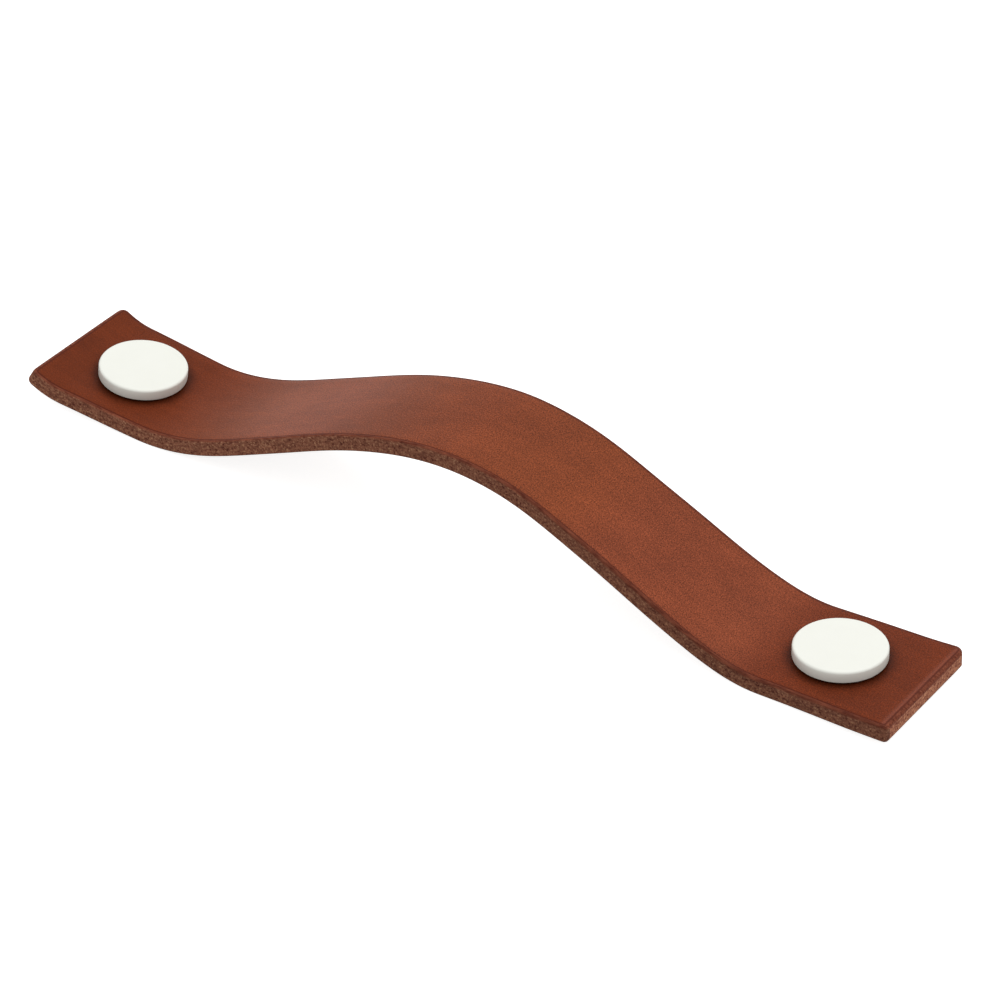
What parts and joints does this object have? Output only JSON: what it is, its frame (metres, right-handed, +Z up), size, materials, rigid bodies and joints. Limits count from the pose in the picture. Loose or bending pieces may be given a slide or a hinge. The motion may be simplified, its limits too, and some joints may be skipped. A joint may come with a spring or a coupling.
{
  "type": "cabinet handle",
  "caption": "Low arched pull handle for cabinets and drawers: a thick leather strap held at both ends by flat round buttons that are screwed from behind.",
  "frame": {"origin": "middle of the bounding box, on the surface that the handle lies on", "axes": "+X along the strap, towards the end that is nearer the camera in the picture; +Y across the strap; +Z up, away from the furniture front"},
  "size_m": [0.1764, 0.0268, 0.0224],
  "materials": {
    "leather": "vegetable-tanned, pebbled grain, natural cut edge",
    "white_powder_coat": "matt powder coat"
  },
  "bodies": {
    "root": {"leather_strap": "leather", "left_button": "white_powder_coat", "right_button": "white_powder_coat"}
  },
  "joints": []
}
